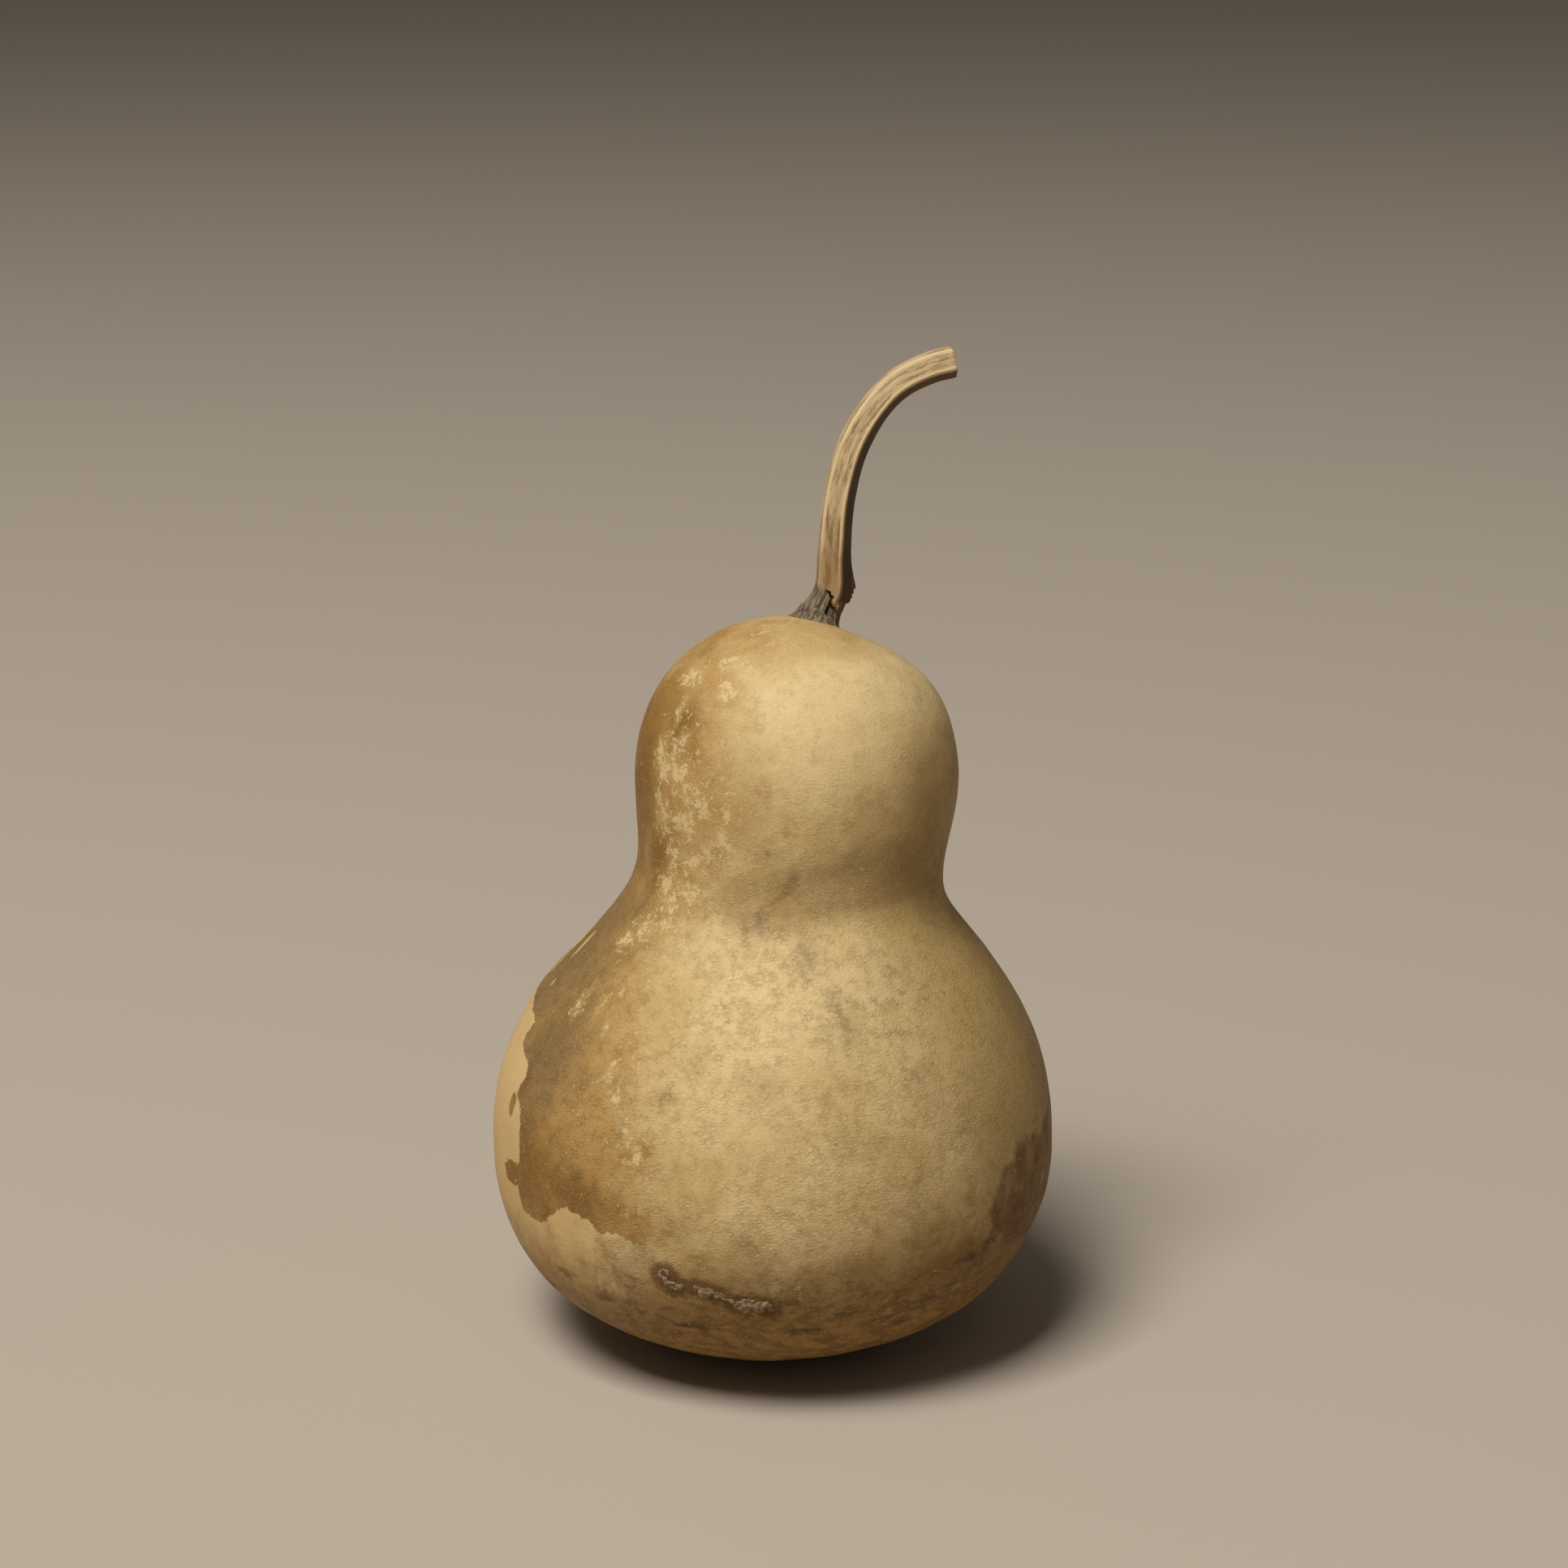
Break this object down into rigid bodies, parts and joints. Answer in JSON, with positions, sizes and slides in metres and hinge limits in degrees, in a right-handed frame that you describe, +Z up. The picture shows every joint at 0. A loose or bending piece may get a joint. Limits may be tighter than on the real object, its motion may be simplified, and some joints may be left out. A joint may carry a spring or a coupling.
{
  "type": "dried gourd",
  "caption": "Dried bottle gourd that stands on a small flat spot: round belly, waist, smaller upper bulb, and a ribbed woody stem curving up and over.",
  "frame": {"origin": "middle of the small flat spot that the gourd rests on", "axes": "+Z up from the surface it stands on, -Y out of the front, and the stem's tip curves over towards +X"},
  "size_m": [0.1198, 0.12, 0.2097],
  "materials": {
    "gourd_skin": "satin",
    "dry_stem": "matte"
  },
  "bodies": {
    "root": {"gourd_body": "gourd_skin", "stem": "dry_stem"}
  },
  "joints": []
}
